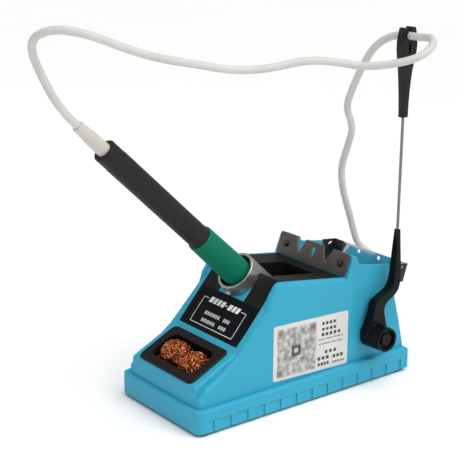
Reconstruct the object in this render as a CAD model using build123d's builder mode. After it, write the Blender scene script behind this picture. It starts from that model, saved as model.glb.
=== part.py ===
# Bench soldering stand: a two-part plastic case with a tilted holder tube, iron,
# tub, wool cup, tip rack, rear tray and a swinging cord arm.
# Millimetres. +Z up, front (wool cup end) towards -Y, arm on the +X side.
# Origin: middle of the footprint, on the surface that the feet stand on.
import os
from math import atan, cos, degrees, pi, radians, sin, tan
from build123d import *

os.makedirs("parts", exist_ok=True)

# ---------------------------------------------------------------- driving dimensions
BASE_L = 200.0            # footprint along Y
BASE_W = 98.4             # footprint along X
BASE_R = 6.0              # plan corner radius
FOOT_H = 2.0              # feet stand this far below the case
SPLIT_Z = 19.2            # joint between lower and upper case
WALL = 2.4
UP_HALF = 44.5            # half width of the upper case at the split
SIDE_DRAFT = 0.030        # side wall leans in this much per mm of height
RIB_PITCH = 14.91         # width of one grip panel on the lower case
RIB_TOP = 10.9
RIB_START = -85.9

S1 = 25.3                 # slope of the wool cup face, degrees
S2 = 48.5                 # slope of the name panel face, degrees
TOP_TILT = 8.67           # tub rim falls towards the rear
KINK_Y, KINK_Z = -56.8, 51.7
TOPV_Y, TOPV_Z = -23.2, 95.6
RIDGE_HALF = 39.3         # half width of the raised middle band
PANEL_HALF = 35.2

AXIS_TILT = 44.5          # holder axis below horizontal
RIM_Y, RIM_Z = -30.3, 96.1
TUBE_OD, TUBE_ID, TUBE_L = 30.5, 26.4, 42.0
GRIP_D, HANDLE_D = 22.0, 17.0

PIV_Y, PIV_Z = 63.4, 38.5  # cord arm pivot
ARM_X0, ARM_X1 = 45.0, 52.5
HUB_X1 = 64.0
ROD_X, ROD_D = 49.2, 2.2

CORD_D = 5.5

REAR_Z = 39.0             # height of the row of rear fittings
GLAND_X, SWITCH_X, INLET_X = -24.0, -4.6, 19.4
TAB_Z = 62.3              # height of the rear tray's screws

ay, az = cos(radians(AXIS_TILT)), -sin(radians(AXIS_TILT))
s1, c1 = sin(radians(S1)), cos(radians(S1))
s2, c2 = sin(radians(S2)), cos(radians(S2))
st, ct = sin(radians(TOP_TILT)), cos(radians(TOP_TILT))


def slope1_z(y):
    return KINK_Z + (y - KINK_Y) * tan(radians(S1))


def side_x(z):
    return UP_HALF - SIDE_DRAFT * (z - SPLIT_Z)


POST_Y = 41.6              # foot of the posts that carry the tip plate
POST_Z = TOPV_Z - (POST_Y - TOPV_Y) * tan(radians(TOP_TILT))
POST_LEAN = 20.5


def tray_z(y):
    """Top of the rear tray's floor."""
    return 79.3 - 0.1526 * (y - 55.5)


# working planes
SL1 = Plane(origin=(0, -77.5, slope1_z(-77.5)), x_dir=(1, 0, 0), z_dir=(0, -s1, c1))
SL2 = Plane(origin=(0, KINK_Y, KINK_Z), x_dir=(1, 0, 0), z_dir=(0, -s2, c2))
TOP = Plane(origin=(0, TOPV_Y, TOPV_Z), x_dir=(1, 0, 0), z_dir=(0, st, ct))
TIPP = Plane(origin=(0, POST_Y, POST_Z), x_dir=(1, 0, 0),
             z_dir=(0, -cos(radians(POST_LEAN)), sin(radians(POST_LEAN))))


def axis_point(s):
    return (0, RIM_Y + ay * s, RIM_Z + az * s)


def axis_plane(s):
    """Plane across the holder axis, s mm down the tube from its rim."""
    return Plane(
        origin=(0, RIM_Y + ay * s, RIM_Z + az * s), x_dir=(1, 0, 0), z_dir=(0, ay, az)
    )


REAR_B = (99.6, 19.2)
REAR_T = (86.3, 87.0)
REAR_LEAN = degrees(atan((REAR_B[0] - REAR_T[0]) / (REAR_T[1] - REAR_B[1])))
sr, cr = sin(radians(REAR_LEAN)), cos(radians(REAR_LEAN))


def rear_y(z):
    return REAR_B[0] + (z - REAR_B[1]) * (REAR_T[0] - REAR_B[0]) / (REAR_T[1] - REAR_B[1])


def rear_plane(x, z, out=0.0):
    return Plane(
        origin=(x, rear_y(z) + out * cr, z + out * sr), x_dir=(-1, 0, 0), z_dir=(0, cr, sr)
    )


def side_plane(y, z, out=0.0):
    """Plane on the right-hand side wall, looking outwards, local x along +Y."""
    n = (cos(SIDE_DRAFT), 0, sin(SIDE_DRAFT))
    return Plane(
        origin=(side_x(z) + out * n[0], y, z + out * n[2]), x_dir=(0, 1, 0), z_dir=n
    )



written = []


def save(bp, name):
    bp.part.label = name
    export_step(bp.part, "parts/" + name + ".step")
    written.append(name)


# ---------------------------------------------------------------- lower case
BOSS_XY = [(38.2, -79.0), (-38.2, -79.0), (38.2, 80.0), (-38.2, 80.0)]
FOOT_XY = [(41.0, -91.0), (-41.0, -91.0), (41.0, 91.0), (-41.0, 91.0)]
STAND_XY = [(28.0, -56.0), (-28.0, -56.0), (28.0, 58.0), (-28.0, 58.0)]

with BuildPart() as lower_case:
    with BuildSketch(Plane.XY.offset(FOOT_H)):
        outline = Rectangle(BASE_W, BASE_L)
        fillet(outline.vertices().group_by(Axis.Y)[0], BASE_R)
        fillet(outline.vertices().group_by(Axis.Y)[-1], BASE_R - 2.2)
    extrude(amount=SPLIT_Z - FOOT_H)
    fillet(lower_case.faces().sort_by(Axis.Z)[-1].edges(), 1.6)
    chamfer(lower_case.faces().sort_by(Axis.Z)[0].edges(), 0.8)
    # hollow under the ledge, then the opening inside the ledge
    with BuildSketch(Plane.XY.offset(FOOT_H + 2.6)):
        RectangleRounded(BASE_W - 6.4, BASE_L - 6.4, BASE_R - 3.2)
    extrude(amount=11.4, mode=Mode.SUBTRACT)
    with BuildSketch(Plane.XY.offset(FOOT_H + 10)):
        RectangleRounded(87.0, 189.4, 3.2)
    extrude(amount=12, mode=Mode.SUBTRACT)
    # grip panels: each one leans in a little, so the edge between two is a step
    n_ribs = 12
    saw_r = [(BASE_W / 2 + 3, RIB_START - 6.3), (BASE_W / 2 - 0.05, RIB_START - 6.3), (BASE_W / 2 - 0.95, RIB_START)]
    for k in range(n_ribs):
        y0 = RIB_START + k * RIB_PITCH
        saw_r += [(BASE_W / 2 - 0.05, y0), (BASE_W / 2 - 0.95, y0 + RIB_PITCH)]
    y_end = RIB_START + n_ribs * RIB_PITCH
    saw_r += [(BASE_W / 2 + 3, y_end)]
    for side in (1, -1):
        with BuildSketch(Plane.XY.offset(0)):
            with BuildLine():
                Polyline(*[(side * x, y) for x, y in saw_r], close=True)
            make_face()
        extrude(amount=RIB_TOP, mode=Mode.SUBTRACT)
    # screw tunnels, with a counterbore from below
    with BuildSketch(Plane.XY.offset(FOOT_H)):
        with Locations(*BOSS_XY):
            Circle(5.2)
    extrude(amount=7.6)
    with BuildSketch(Plane.XY.offset(FOOT_H)):
        with Locations(*BOSS_XY):
            Circle(3.4)
    extrude(amount=4.6, mode=Mode.SUBTRACT)
    with BuildSketch(Plane.XY.offset(FOOT_H)):
        with Locations(*BOSS_XY):
            Circle(1.7)
    extrude(amount=12, mode=Mode.SUBTRACT)
    # seats for the feet
    with BuildSketch(Plane.XY.offset(FOOT_H)):
        with Locations(*FOOT_XY):
            Circle(5.6)
    extrude(amount=0.9, mode=Mode.SUBTRACT)
    # circuit board standoffs
    with BuildSketch(Plane.XY.offset(FOOT_H + 2.6)):
        with Locations(*STAND_XY):
            Circle(3.2)
            Circle(1.1, mode=Mode.SUBTRACT)
    extrude(amount=5.4)
    # floor vents
    with BuildSketch(Plane.XY.offset(FOOT_H - 1)):
        with GridLocations(0, 7.0, 1, 7):
            SlotOverall(40, 2.4)
    extrude(amount=6, mode=Mode.SUBTRACT)
save(lower_case, "lower_case")

with BuildPart() as rubber_feet:
    with BuildSketch(Plane.XY):
        with Locations(*FOOT_XY):
            Circle(5.4)
    extrude(amount=FOOT_H + 0.9)
    chamfer(rubber_feet.edges().group_by(Axis.Z)[0], 0.5)
save(rubber_feet, "rubber_feet")

# ---------------------------------------------------------------- upper case
slab_pts = [
    (-95.9, 19.2), (-95.5, 25.0), (-89.2, 31.4), (-72.7, 40.2), (-59.3, 50.2),
    (-39.1, 70.8), (-33.8, 76.2), (-30.7, 85.3), (TOPV_Y, TOPV_Z),
    (POST_Y, POST_Z), (47.4, 101.2), (53.0, 100.0), (56.4, 92.7), REAR_T, REAR_B,
]
ridge_pts = [
    (-96.4, 19.2), (-96.0, slope1_z(-96.0)), (KINK_Y, KINK_Z),
    (KINK_Y + 58 * c2, KINK_Z + 58 * s2), (0, 70), (0, 19.2),
]
in_pts = [
    (-93.2, 10.0), (-93.2, 24.0), (-87.6, 29.2), (-71.0, 37.6), (-57.2, 48.0),
    (-37.2, 68.0), (-28.0, 80.0), (-22.5, 89.5),
    (38.0, 81.2), (46.0, 79.8), (52.0, 76.0), (86.9, 70.7), (94.9, 30.0), (93.8, 24.0), (93.8, 10.0),
]
# raised middle band that carries the cup and the name panel
with BuildPart() as ridge:
    with BuildSketch(Plane.YZ):
        with BuildLine():
            Polyline(*ridge_pts, close=True)
        make_face()
    extrude(amount=RIDGE_HALF, both=True)
    fillet([e for e in ridge.edges().filter_by(Axis.X)
            if abs(e.center().Y - KINK_Y) < 0.1 and abs(e.center().Z - KINK_Z) < 0.1], 9.0)
    fillet([e for e in ridge.edges().filter_by(Axis.X)
            if abs(e.center().Y + 96.0) < 0.1 and e.center().Z > 25], 3.4)
    fillet([e for e in ridge.edges()
            if abs(abs(e.center().X) - RIDGE_HALF) < 0.01 and e.center().Z > SPLIT_Z + 0.5
            and e.center().Y < -30], 1.7)

with BuildPart() as hollow:
    with BuildSketch(Plane.YZ):
        with BuildLine():
            Polyline(*in_pts, close=True)
        make_face()
    extrude(amount=46, both=True)
    with BuildSketch(Plane.XZ):
        with BuildLine():
            Polyline(
                (-UP_HALF + WALL, 5), (UP_HALF - WALL, 5), (UP_HALF - WALL, SPLIT_Z),
                (UP_HALF - WALL - 0.077 * 86, SPLIT_Z + 86),
                (-UP_HALF + WALL + 0.077 * 86, SPLIT_Z + 86), (-UP_HALF + WALL, SPLIT_Z),
                close=True,
            )
        make_face()
    extrude(amount=130, both=True, mode=Mode.INTERSECT)

with BuildPart() as upper_case:
    with BuildSketch(Plane.YZ):
        with BuildLine():
            Polyline(*slab_pts, close=True)
        make_face()
    extrude(amount=46, both=True)
    with BuildSketch(Plane.XZ):
        with BuildLine():
            Polyline(
                (-UP_HALF, SPLIT_Z), (UP_HALF, SPLIT_Z),
                (side_x(105), 105), (-side_x(105), 105), close=True,
            )
        make_face()
    extrude(amount=130, both=True, mode=Mode.INTERSECT)
    # profile corners are softened across the full width
    def across(y, z, tol=0.6):
        return [
            e for e in upper_case.edges().filter_by(Axis.X)
            if abs(e.center().Y - y) < tol and abs(e.center().Z - z) < tol
        ]

    rear_c = [
        e for e in upper_case.edges()
        if e.center().Y > 88 and abs(e.center().X) > 41 and e.length > 40
    ]
    fillet(rear_c, 1.8)
    fillet(across(-95.5, 25.0), 4.0)
    fillet(across(-89.2, 31.4), 5.0)
    fillet(across(-72.7, 40.2), 20.0)
    fillet(across(-59.3, 50.2), 25.0)
    fillet(across(TOPV_Y, TOPV_Z), 6.0)
    fillet(across(-30.7, 85.3), 5.0)
    fillet(across(-33.8, 76.2), 5.0)
    # shoulders: the long edge from the front foot to the foot of the posts
    shoulder = [
        e for e in upper_case.edges()
        if abs(e.center().X) > 41 and e.center().Z > 19.6 and e.center().Y < 39
        and abs(e.tangent_at(0.5).X) < 0.5
    ]
    fillet(shoulder, 3.2)
    # foot of the front corners and the top of the posts and rear walls
    fillet(across(47.4, 101.2), 1.6)
    fillet(across(53.0, 100.0), 2.2)
    fillet(across(56.4, 92.7), 2.6)
    add(ridge.part)
    # room in front of the tub: the side cheeks stand proud of the panel face
    with BuildSketch(SL2):
        with Locations((0, 55)):
            Rectangle(2 * 37.7, 60)
    extrude(amount=20, mode=Mode.SUBTRACT)
    # seat of the tub rim
    with BuildSketch(TOP.offset(-2.4)):
        with Locations((0, 29.6)):
            Rectangle(2 * 37.7, 70.2)
    extrude(amount=20, mode=Mode.SUBTRACT)
    # between the posts
    with BuildSketch(Plane.XY.offset(86.4)):
        with Locations((0, 52)):
            Rectangle(52, 26)
    extrude(amount=30, mode=Mode.SUBTRACT)
    # rear compartment, open at the top and at the back
    with BuildSketch(Plane.YZ):
        with BuildLine():
            Polyline((55.0, tray_z(55.0) - 1.26), (55.0, 120), (120, 120),
                     (120, tray_z(120.0) - 1.26), close=True)
        make_face()
    extrude(amount=37.6, both=True, mode=Mode.SUBTRACT)
    # inset pocket at the rear of each side, where the cord arm swings
    for side in (1, -1):
        for z in (SPLIT_Z - 1, 104.0):
            xs = side_x(z) + 0.02
            xp = 44.3 - (z - SPLIT_Z) * 0.075
            with BuildSketch(Plane.XY.offset(z)):
                with BuildLine():
                    Polyline((side * xp, 60.5), (side * xp, 110), (side * 60, 110), (side * 60, 45), (side * xs, 45))
                    Spline((side * xs, 45), (side * xp, 60.5), tangents=((0, 1), (0, 1)))
                make_face()
        loft(mode=Mode.SUBTRACT)
    # inside
    add(hollow.part, mode=Mode.SUBTRACT)
    # skirt that locates the upper case inside the ledge
    with BuildSketch(Plane.XY.offset(SPLIT_Z - 3.0)):
        RectangleRounded(86.4, 188.8, 3.0)
        RectangleRounded(82.6, 185.0, 1.6, mode=Mode.SUBTRACT)
    extrude(amount=5.0)
    # screw bosses
    for bx, by in BOSS_XY:
        with BuildSketch(Plane.XY.offset(FOOT_H + 7.65)):
            with Locations((bx, by)):
                Circle(4.0)
        extrude(amount=23.8 if by < 0 else 40.0)
    with BuildSketch(Plane.XY.offset(5)):
        with Locations(*BOSS_XY):
            Circle(1.3)
    extrude(amount=20, mode=Mode.SUBTRACT)
    # pivot pad, flat and square to the pivot axis
    with BuildSketch(Plane.YZ.offset(38.0)):
        with Locations((PIV_Y, PIV_Z)):
            Circle(9.6)
    extrude(amount=5.6)
    with BuildSketch(Plane.YZ.offset(30.0)):
        with Locations((PIV_Y, PIV_Z)):
            Circle(2.6)
    extrude(amount=20, mode=Mode.SUBTRACT)
    # opening that the tub hangs through
    with BuildSketch(Plane.XY.offset(58)):
        with Locations((0, 7.3)):
            Rectangle(39.4, 49.4)
    extrude(amount=60, mode=Mode.SUBTRACT)
    # hole for the holder tube
    with BuildSketch(axis_plane(-6)):
        Circle(TUBE_OD / 2 + 0.25)
    extrude(amount=60, mode=Mode.SUBTRACT)
    # opening for the wool cup
    with BuildSketch(SL1.offset(6)):
        RectangleRounded(58.6, 30.6, 6)
    extrude(amount=-16, mode=Mode.SUBTRACT)
    # shallow seat of the name panel and the tub's two front legs
    with BuildSketch(SL2.offset(-1.2)):
        with Locations((0, (1.2 + 62) / 2)):
            Rectangle(2 * PANEL_HALF + 0.4, 62 - 1.2)
        with Locations((0, (33.9 + 64) / 2)):
            Rectangle(30.0, 64 - 33.9, mode=Mode.SUBTRACT)
    extrude(amount=8, mode=Mode.SUBTRACT)
    # rear wall: cord gland, power inlet, switch, tray screws
    with BuildSketch(rear_plane(0, REAR_Z, 4)):
        with Locations((-GLAND_X, 0)):
            Circle(5.6)
        with Locations((-INLET_X, 0)):
            RectangleRounded(27.6, 20.0, 2)
        with Locations((-SWITCH_X, 0)):
            Rectangle(13.2, 19.4)
    extrude(amount=-12, mode=Mode.SUBTRACT)
    with BuildSketch(rear_plane(0, TAB_Z, 4)):
        with Locations((24, 0), (-24, 0)):
            Circle(1.3)
    extrude(amount=-12, mode=Mode.SUBTRACT)
    # screw holes in the posts
    with BuildSketch(TIPP.offset(2)):
        with Locations((31.5, 9.0), (-31.5, 9.0)):
            Circle(1.3)
    extrude(amount=-9, mode=Mode.SUBTRACT)
save(upper_case, "upper_case")

# ---------------------------------------------------------------- fasteners of the case
with BuildPart() as case_screws:
    with BuildSketch(Plane.XY.offset(FOOT_H + 1.6)):
        with Locations(*BOSS_XY):
            Circle(2.9)
    extrude(amount=2.9)
    with BuildSketch(Plane.XY.offset(FOOT_H + 4.0)):
        with Locations(*BOSS_XY):
            Circle(1.25)
    extrude(amount=14)
    with BuildSketch(Plane.XY.offset(FOOT_H + 1.6)):
        with Locations(*BOSS_XY):
            Rectangle(3.4, 0.7)
            Rectangle(0.7, 3.4)
    extrude(amount=1.2, mode=Mode.SUBTRACT)
save(case_screws, "case_screws")

# ---------------------------------------------------------------- tub behind the holder
POCKET_X, POCKET_Y0, POCKET_Y1, POCKET_Z = 17.8, -15.6, 30.0, 33.0
POCKET_YC = (POCKET_Y0 + POCKET_Y1) / 2
POCKET_YL = POCKET_Y1 - POCKET_Y0
with BuildPart() as tub_liner:
    # rim plate, bent over into two legs beside the holder tube
    with BuildSketch(TOP.offset(-2.3)):
        with Locations((0, (1.0 + 64.4) / 2)):
            Rectangle(2 * PANEL_HALF - 0.4, 64.4 - 1.0)
        with Locations((0, (8.0 + 64.4) / 2)):
            Rectangle(2 * 37.4, 64.4 - 8.0)
    extrude(amount=2.3)
    with BuildSketch(SL2.offset(-1.1)):
        for side in (1, -1):
            with Locations((side * (15.7 + PANEL_HALF - 0.2) / 2, (34.1 + 57.6) / 2)):
                Rectangle(PANEL_HALF - 0.2 - 15.7, 57.6 - 34.1)
    extrude(amount=1.1)
    # walls of the pocket
    with BuildSketch(Plane.XY.offset(POCKET_Z - 1.6)):
        with Locations((0, POCKET_YC)):
            Rectangle(2 * POCKET_X + 3.2, POCKET_YL + 3.2)
    extrude(amount=70)
    # everything above the rim and in front of the panel face goes
    with BuildSketch(TOP):
        with Locations((0, 30)):
            Rectangle(90, 90)
    extrude(amount=30, mode=Mode.SUBTRACT)
    with BuildSketch(SL2):
        with Locations((0, 55)):
            Rectangle(90, 60)
    extrude(amount=20, mode=Mode.SUBTRACT)
    # sunk floor of the rim, falling to the pocket
    with BuildSketch(TOP):
        with Locations((0, (7.2 + 62.4) / 2)):
            Rectangle(2 * 35.0, 62.4 - 7.2)
    with BuildSketch(TOP.offset(-1.5)):
        with Locations((0, (7.9 + 54.0) / 2)):
            Rectangle(2 * POCKET_X + 3, 54.0 - 7.9)
    loft(mode=Mode.SUBTRACT)
    with BuildSketch(Plane.XY.offset(POCKET_Z)):
        with Locations((0, POCKET_YC)):
            RectangleRounded(2 * POCKET_X, POCKET_YL, 3)
    extrude(amount=70, mode=Mode.SUBTRACT)
    # the holder tube passes through the front
    with BuildSketch(axis_plane(-6)):
        Circle(TUBE_OD / 2 + 0.25)
    extrude(amount=52, mode=Mode.SUBTRACT)
save(tub_liner, "tub_liner")

# ---------------------------------------------------------------- panels and labels
with BuildPart() as nameplate:
    with BuildSketch(SL2.offset(-1.15)):
        with Locations((0, (1.4 + 33.65) / 2)):
            RectangleRounded(2 * PANEL_HALF, 33.65 - 1.4, 0.8)
    extrude(amount=1.15)
save(nameplate, "nameplate")

with BuildPart() as side_label:
    with BuildSketch(side_plane(6.0, 42.0, 0.02)):
        with Locations(Location((0, 0), -2.4)):
            RectangleRounded(71.0, 41.6, 2.0)
    extrude(amount=0.25)
save(side_label, "side_label")

# ---------------------------------------------------------------- wool cup
with BuildPart() as wool_cup:
    with BuildSketch(SL1):
        RectangleRounded(66.6, 37.8, 5)
    extrude(amount=1.3)
    with BuildSketch(SL1.offset(-20)):
        RectangleRounded(57.8, 29.8, 6.5)
    extrude(amount=20)
    with BuildSketch(SL1.offset(-18.6)):
        RectangleRounded(52.4, 24.6, 7.5)
    extrude(amount=25, mode=Mode.SUBTRACT)
    chamfer(wool_cup.faces().sort_by(Axis(origin=(0, 0, 0), direction=(0, -s1, c1)))[-1]
            .outer_wire().edges(), 0.5)
save(wool_cup, "wool_cup")

with BuildPart() as copper_wool:
    with BuildSketch(SL1.offset(-18.4)):
        RectangleRounded(51.6, 23.8, 7.1)
    extrude(amount=16.6)
    with BuildSketch(SL1.offset(-1.8)):
        RectangleRounded(51.0, 23.2, 6.8)
    with BuildSketch(SL1.offset(1.4)):
        RectangleRounded(45.0, 17.6, 6.0)
    loft()
    with BuildSketch(SL1.offset(1.4)):
        RectangleRounded(45.0, 17.6, 6.0)
    with BuildSketch(SL1.offset(3.0)):
        RectangleRounded(34.0, 9.0, 4.0)
    loft()
save(copper_wool, "copper_wool")

# ---------------------------------------------------------------- holder tube
with BuildPart() as holder_tube:
    with BuildSketch(axis_plane(0)):
        Circle(TUBE_OD / 2)
        Circle(TUBE_ID / 2, mode=Mode.SUBTRACT)
    extrude(amount=TUBE_L)
    chamfer(holder_tube.faces().sort_by(Axis.Z)[-1].edges(), 0.35)
    # threaded hole of the locking screw, on the underside
    with BuildSketch(Plane(origin=axis_point(7.6), x_dir=(1, 0, 0), z_dir=(0, az, -ay))):
        Circle(1.55)
    extrude(amount=25, mode=Mode.SUBTRACT)
save(holder_tube, "holder_tube")

UNDER = Plane(origin=axis_point(7.6), x_dir=(1, 0, 0), z_dir=(0, az, -ay))
with BuildPart() as holder_screw:
    with BuildSketch(UNDER.offset(13.35)):
        Circle(1.5)
    extrude(amount=2.2)
    with BuildSketch(UNDER.offset(15.28)):
        Circle(2.4)
    extrude(amount=1.9)
    fillet(holder_screw.faces().sort_by(Axis(origin=(0, 0, 0), direction=(0, az, -ay)))[-1].edges(), 1.2)
save(holder_screw, "holder_screw")

# ---------------------------------------------------------------- tip rack
with BuildPart() as tip_plate:
    with BuildSketch(TIPP.offset(0.03)):
        with Locations((0, (0.7 + 17.4) / 2)):
            RectangleRounded(2 * 39.6, 17.4 - 0.7, 1.0)
        for side in (1, -1):
            with BuildLine():
                Polyline((side * 9.5, 18), (side * 14.6, 5.9), (side * 16.2, 5.9),
                         (side * 21.2, 18), close=True)
            make_face(mode=Mode.SUBTRACT)
        with Locations((0, 11.5)):
            Circle(2.3, mode=Mode.SUBTRACT)
        with BuildLine():
            Polyline((-2.2, 11.0), (-0.5, 5.4), (0.5, 5.4), (2.2, 11.0), close=True)
        make_face(mode=Mode.SUBTRACT)
        with Locations((31.5, 9.0), (-31.5, 9.0)):
            Circle(1.6, mode=Mode.SUBTRACT)
    extrude(amount=1.2)
save(tip_plate, "tip_plate")

with BuildPart() as tip_plate_screws:
    with BuildSketch(TIPP.offset(1.25)):
        with Locations((31.5, 9.0), (-31.5, 9.0)):
            Circle(2.6)
    extrude(amount=1.5)
    fillet(tip_plate_screws.edges().filter_by(GeomType.CIRCLE)
           .sort_by(Axis(origin=(0, 0, 0), direction=(0, -cos(radians(POST_LEAN)), sin(radians(POST_LEAN)))))[-2:], 0.7)
    with BuildSketch(TIPP.offset(1.5)):
        with Locations((31.5, 9.0), (-31.5, 9.0)):
            Circle(1.25)
    extrude(amount=-7.5)
    with BuildSketch(TIPP.offset(2.0)):
        with Locations((31.5, 9.0), (-31.5, 9.0)):
            Rectangle(3.0, 0.6)
            Rectangle(0.6, 3.0)
    extrude(amount=2, mode=Mode.SUBTRACT)
save(tip_plate_screws, "tip_plate_screws")

# ---------------------------------------------------------------- rear tray, folded sheet
T = 1.2
with BuildPart() as rear_tray:
    with BuildSketch(Plane.YZ):
        with BuildLine():
            Polyline((55.6, tray_z(55.6)), (89.8, tray_z(89.8)), (89.8, tray_z(89.8) - T),
                     (55.6, tray_z(55.6) - T), close=True)
        make_face()
    extrude(amount=37.2, both=True)
    # wide part behind the case, with the rear plate
    with BuildSketch(Plane.YZ):
        with BuildLine():
            Polyline((89.35, tray_z(89.35)), (99.2, tray_z(99.2)), (103.3, 84.9), (104.5, 84.5),
                     (99.9, tray_z(99.9) - T - 0.6), (89.35, tray_z(89.35) - T), close=True)
        make_face()
    extrude(amount=41.3, both=True)
    # cheeks
    with BuildSketch(Plane.YZ):
        with BuildLine():
            Polyline((89.35, tray_z(89.35) - 0.4), (89.35, 86.7), (102.6, 85.0), (104.2, 84.4),
                     (99.9, tray_z(99.9) - 0.4), close=True)
        make_face()
        with Locations(Location((97.4, 82.6), 20)):
            SlotOverall(4.4, 1.8, mode=Mode.SUBTRACT)
    extrude(amount=41.3, both=True)
    with BuildSketch(Plane.YZ):
        with BuildLine():
            Polyline((80, tray_z(80) + 0.001), (99.2, tray_z(99.2) + 0.001), (103.3, 84.9), (104.5, 92),
                     (80, 92), close=True)
        make_face()
    extrude(amount=40.1, both=True, mode=Mode.SUBTRACT)
    # tab down the rear wall
    with BuildSketch(rear_plane(0, TAB_Z, 0.04)):
        with Locations((0, 1.8)):
            RectangleRounded(60, 19.2, 1.5)
        with Locations((24, 0), (-24, 0)):
            Circle(1.7, mode=Mode.SUBTRACT)
    extrude(amount=T)
    # holes along the top of the rear plate
    with BuildSketch(Plane(origin=(0, 102.6, 81.4), x_dir=(1, 0, 0), z_dir=(0, -cos(radians(18)), sin(radians(18))))):
        with Locations((11.3, 0), (-11.3, 0)):
            Circle(1.6)
    extrude(amount=6, both=True, mode=Mode.SUBTRACT)
save(rear_tray, "rear_tray")

with BuildPart() as rear_tray_screws:
    with BuildSketch(rear_plane(0, TAB_Z, 0.04 + T + 0.02)):
        with Locations((24, 0), (-24, 0)):
            Circle(2.8)
    extrude(amount=1.7)
    fillet(rear_tray_screws.edges().filter_by(GeomType.CIRCLE)
           .sort_by(Axis(origin=(0, 0, 0), direction=(0, cr, sr)))[-2:], 0.8)
    with BuildSketch(rear_plane(0, TAB_Z, 1.5)):
        with Locations((24, 0), (-24, 0)):
            Circle(1.25)
    extrude(amount=-8)
    with BuildSketch(rear_plane(0, TAB_Z, 2.1)):
        with Locations((24, 0), (-24, 0)):
            Rectangle(3.2, 0.6)
            Rectangle(0.6, 3.2)
    extrude(amount=2, mode=Mode.SUBTRACT)
save(rear_tray_screws, "rear_tray_screws")

# ---------------------------------------------------------------- rear fittings
GLAND_OUT = 13.0
with BuildPart() as cord_gland:
    with BuildSketch(rear_plane(GLAND_X, REAR_Z, 0.02)):
        Circle(7.2)
    extrude(amount=2.2)
    with BuildSketch(rear_plane(GLAND_X, REAR_Z, 2.0)):
        Circle(5.2)
    with BuildSketch(rear_plane(GLAND_X, REAR_Z, GLAND_OUT)):
        Circle(3.9)
    loft()
    with BuildSketch(rear_plane(GLAND_X, REAR_Z, 0.1)):
        Circle(5.5)
    extrude(amount=-4.4)
    with BuildSketch(rear_plane(GLAND_X, REAR_Z, -2.9)):
        Circle(6.6)
    extrude(amount=-1.4)
save(cord_gland, "cord_gland")

with BuildPart() as power_inlet:
    with BuildSketch(rear_plane(INLET_X, REAR_Z, 0.02)):
        RectangleRounded(30.8, 23.4, 3)
    extrude(amount=2.0)
    with BuildSketch(rear_plane(INLET_X, REAR_Z, 0.1)):
        RectangleRounded(27.2, 19.6, 2)
    extrude(amount=-17.5)
    with BuildSketch(rear_plane(INLET_X, REAR_Z, 2.2)):
        RectangleRounded(22.4, 14.6, 2.4)
    extrude(amount=-16.5, mode=Mode.SUBTRACT)
    with BuildSketch(rear_plane(INLET_X, REAR_Z, -14.6)):
        with Locations((-7, -1.6), (0, 2.2), (7, -1.6)):
            Rectangle(1.8, 4.0)
    extrude(amount=9.6)
save(power_inlet, "power_inlet")

with BuildPart() as switch_housing:
    with BuildSketch(rear_plane(SWITCH_X, REAR_Z, 0.02)):
        RectangleRounded(15.0, 21.4, 1.2)
    extrude(amount=1.7)
    with BuildSketch(rear_plane(SWITCH_X, REAR_Z, 0.1)):
        Rectangle(12.9, 19.1)
    extrude(amount=-14.5)
    with BuildSketch(rear_plane(SWITCH_X, REAR_Z, 2.0)):
        Rectangle(9.6, 16.8)
    extrude(amount=-11.0, mode=Mode.SUBTRACT)
    with BuildSketch(rear_plane(SWITCH_X, REAR_Z, -14.0)):
        with Locations((-3.2, 5.5), (3.2, 5.5), (-3.2, -5.5), (3.2, -5.5)):
            Rectangle(0.8, 4.4)
    extrude(amount=-6)
save(switch_housing, "switch_housing")

ROCK = 9.0                # the rocker rests this far to one side, degrees
rock_o = rear_plane(SWITCH_X, REAR_Z, -1.5).origin
rock_a = radians(REAR_LEAN + ROCK)
rock_u = (0, -sin(rock_a), cos(rock_a))
ROCK_PLANE = Plane(origin=(SWITCH_X, rock_o.Y, rock_o.Z), x_dir=(0, cos(rock_a), sin(rock_a)),
                   z_dir=(1, 0, 0))
with BuildPart() as switch_rocker:
    with BuildSketch(ROCK_PLANE):
        with BuildLine():
            Polyline((0.6, -7.4), (4.3, -7.4), (2.7, 0), (4.3, 7.4), (0.6, 7.4), (-3.2, 3.4), (-3.2, -3.4), close=True)
        make_face()
    extrude(amount=4.6, both=True)
    chamfer(switch_rocker.edges().filter_by(Axis.X).sort_by(
        Axis(origin=(0, 0, 0), direction=(0, cos(rock_a), sin(rock_a))))[-2:], 0.5)
    # axle stubs in the housing's side walls
    with BuildSketch(ROCK_PLANE):
        Circle(1.2)
    extrude(amount=4.78, both=True)
save(switch_rocker, "switch_rocker")

# ---------------------------------------------------------------- electronics
BOARD_Z = FOOT_H + 8.0
with BuildPart() as circuit_board:
    with BuildSketch(Plane.XY.offset(BOARD_Z + 0.02)):
        with Locations((0, 1)):
            RectangleRounded(68, 126, 2)
        with Locations(*STAND_XY):
            Circle(1.4, mode=Mode.SUBTRACT)
    extrude(amount=1.6)
save(circuit_board, "circuit_board")

with BuildPart() as board_screws:
    with BuildSketch(Plane.XY.offset(BOARD_Z + 1.65)):
        with Locations(*STAND_XY):
            Circle(2.4)
    extrude(amount=1.6)
    fillet(board_screws.faces().filter_by(Axis.Z).sort_by(Axis.Z)[-4:].edges(), 0.7)
    with BuildSketch(Plane.XY.offset(BOARD_Z + 1.8)):
        with Locations(*STAND_XY):
            Circle(1.05)
    extrude(amount=-6.2)
save(board_screws, "board_screws")

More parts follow.
